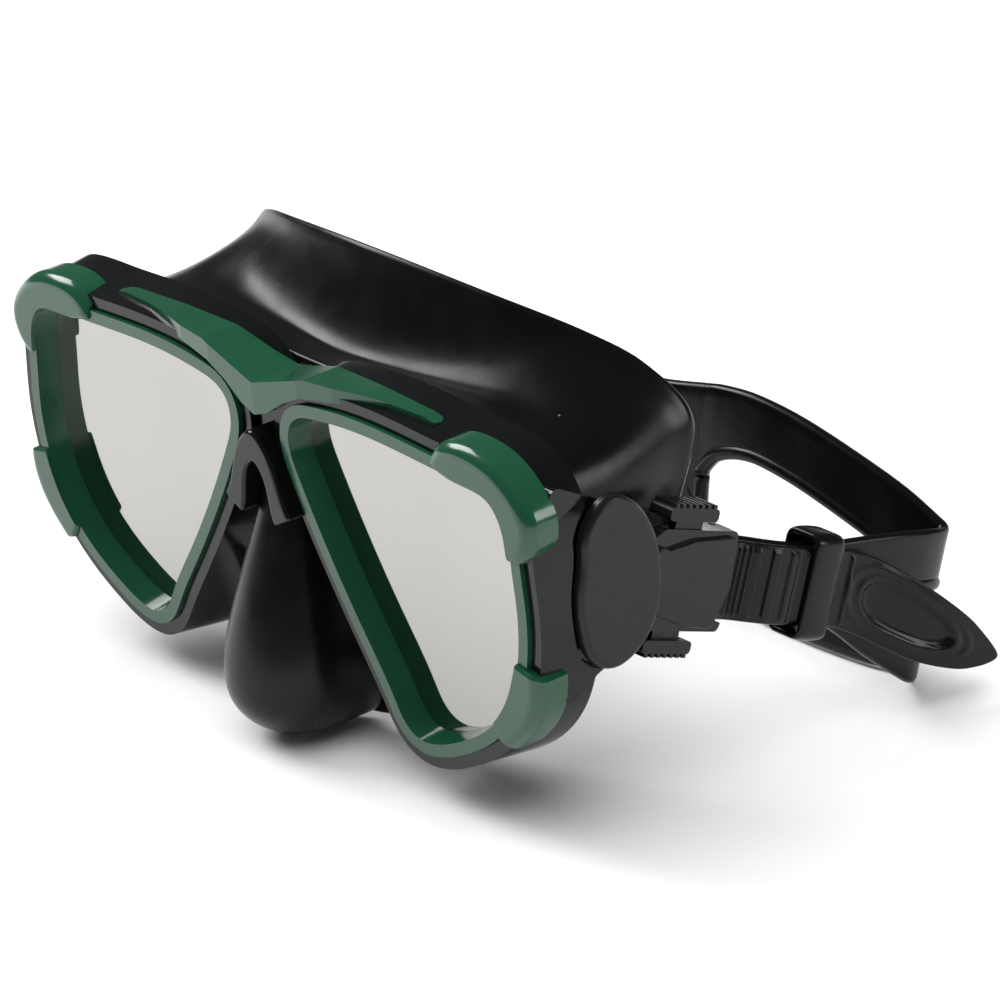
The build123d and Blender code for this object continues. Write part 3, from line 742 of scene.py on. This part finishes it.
def make_keeper(word, side):
    """Moulded loop with soft corners and a slightly crowned wall."""
    middle_x = (KEEPER_X[0] + KEEPER_X[1]) / 2
    straight_x = (KEEPER_X[1] - KEEPER_X[0]) / 2 + KEEPER_WALL / 2 - KEEPER_CORNER
    straight_v = KEEPER_HALF + KEEPER_WALL / 2 - KEEPER_CORNER
    rows = []
    for corner_x, corner_v, start in ((1, 1, 0), (-1, 1, 90), (-1, -1, 180), (1, -1, 270)):
        for degrees in range(start, start + 91, 15):
            angle = math.radians(degrees)
            loop_x = corner_x * straight_x + KEEPER_CORNER * math.cos(angle)
            loop_v = corner_v * straight_v + KEEPER_CORNER * math.sin(angle)
            row = []
            for k in range(KEEPER_ROUND):
                turn = 2 * math.pi * k / KEEPER_ROUND
                flat, thick = squared(math.cos(turn)), squared(math.sin(turn))
                crown = KEEPER_CROWN * (1 - flat * flat) if thick > 0 else 0
                reach = KEEPER_WALL / 2 * thick + crown
                y, z = buckle(KEEPER_U + KEEPER_WIDTH / 2 * flat, loop_v + reach * math.sin(angle))
                row.append(at(side * (middle_x + loop_x + reach * math.cos(angle)), y, z))
            rows.append(row)
    keeper = mesh_object(f"soft_keeper_{word}", rows, wrap_rows=True, wrap_columns=True)
    outward(keeper)
    dress(keeper, strap_rubber)
    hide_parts(f"keeper_{word}")
    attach(keeper, f"{word}_keeper")


for word, side in (("left", 1), ("right", -1)):
    make_keeper(word, side)

# ---------------------------------------------------------------- floor, light and camera
FLOOR_HALF = 6.0                     # metres
FLOOR_DROP = 0.0002

made, tree, shader, place = new_material("pale_floor")
tree.links.new(colour_mix(tree, noise_node(tree, place, 3, 2), (0.9, 0.9, 0.9), (0.93, 0.93, 0.93)),
               shader.inputs["Base Color"])
shader.inputs["Roughness"].default_value = 0.9
shader.inputs["Specular IOR Level"].default_value = 0.1
floor = mesh_object("floor", [[Vector((x, y, -FLOOR_DROP)) for x in (-FLOOR_HALF, FLOOR_HALF)]
                              for y in (-FLOOR_HALF, FLOOR_HALF)])
dress(floor, made)


def softbox(name, place, target, size, power):
    """Square area light that looks at a target, in metres and watts."""
    light = bpy.data.lights.new(name, "AREA")
    light.shape = "RECTANGLE"
    light.size = size
    light.size_y = size
    light.energy = power
    lamp = bpy.data.objects.new(name, light)
    lamp.location = place
    lamp.rotation_euler = (Vector(target) - Vector(place)).to_track_quat("-Z", "Y").to_euler()
    bpy.context.scene.collection.objects.link(lamp)
    return lamp


overhead = softbox("overhead", (0.0, 0.0, 2.6), (0, 0, 0), 4.5, 138)
overhead.visible_glossy = False      # it lights the floor; the boxes below make the highlights
softbox("key", (-1.25, -0.35, 1.15), (0, 0, 0.05), 0.8, 20)
softbox("side", (1.3, 0.9, 0.5), (0, 0, 0.05), 0.5, 5)

world = bpy.data.worlds.new("studio")
world.use_nodes = True
world.node_tree.nodes["Background"].inputs["Color"].default_value = (0.93, 0.95, 1.0, 1)
world.node_tree.nodes["Background"].inputs["Strength"].default_value = 0.1
bpy.context.scene.world = world
bpy.context.scene.view_settings.view_transform = "Standard"

CAMERA_PLACE = (809.3, -573.4, 423.4)
AZIMUTH = math.radians(52.05)
ELEVATION = math.radians(24.54)
ROLL = math.radians(-4.81)
LENS_MM = 200.07
SENSOR_MM = 36


def make_camera():
    back = Vector((math.sin(AZIMUTH) * math.cos(ELEVATION), -math.cos(AZIMUTH) * math.cos(ELEVATION),
                   math.sin(ELEVATION)))
    right = Vector((math.cos(AZIMUTH), math.sin(AZIMUTH), 0))
    up = back.cross(right)
    camera_right = math.cos(ROLL) * right + math.sin(ROLL) * up
    camera_up = -math.sin(ROLL) * right + math.cos(ROLL) * up
    camera_data = bpy.data.cameras.new("camera")
    camera_data.lens = LENS_MM
    camera_data.sensor_width = SENSOR_MM
    camera = bpy.data.objects.new("camera", camera_data)
    turn = Matrix((camera_right, camera_up, back)).transposed()
    camera.matrix_world = Matrix.Translation(at(*CAMERA_PLACE)) @ turn.to_4x4()
    bpy.context.scene.collection.objects.link(camera)
    bpy.context.scene.camera = camera


make_camera()
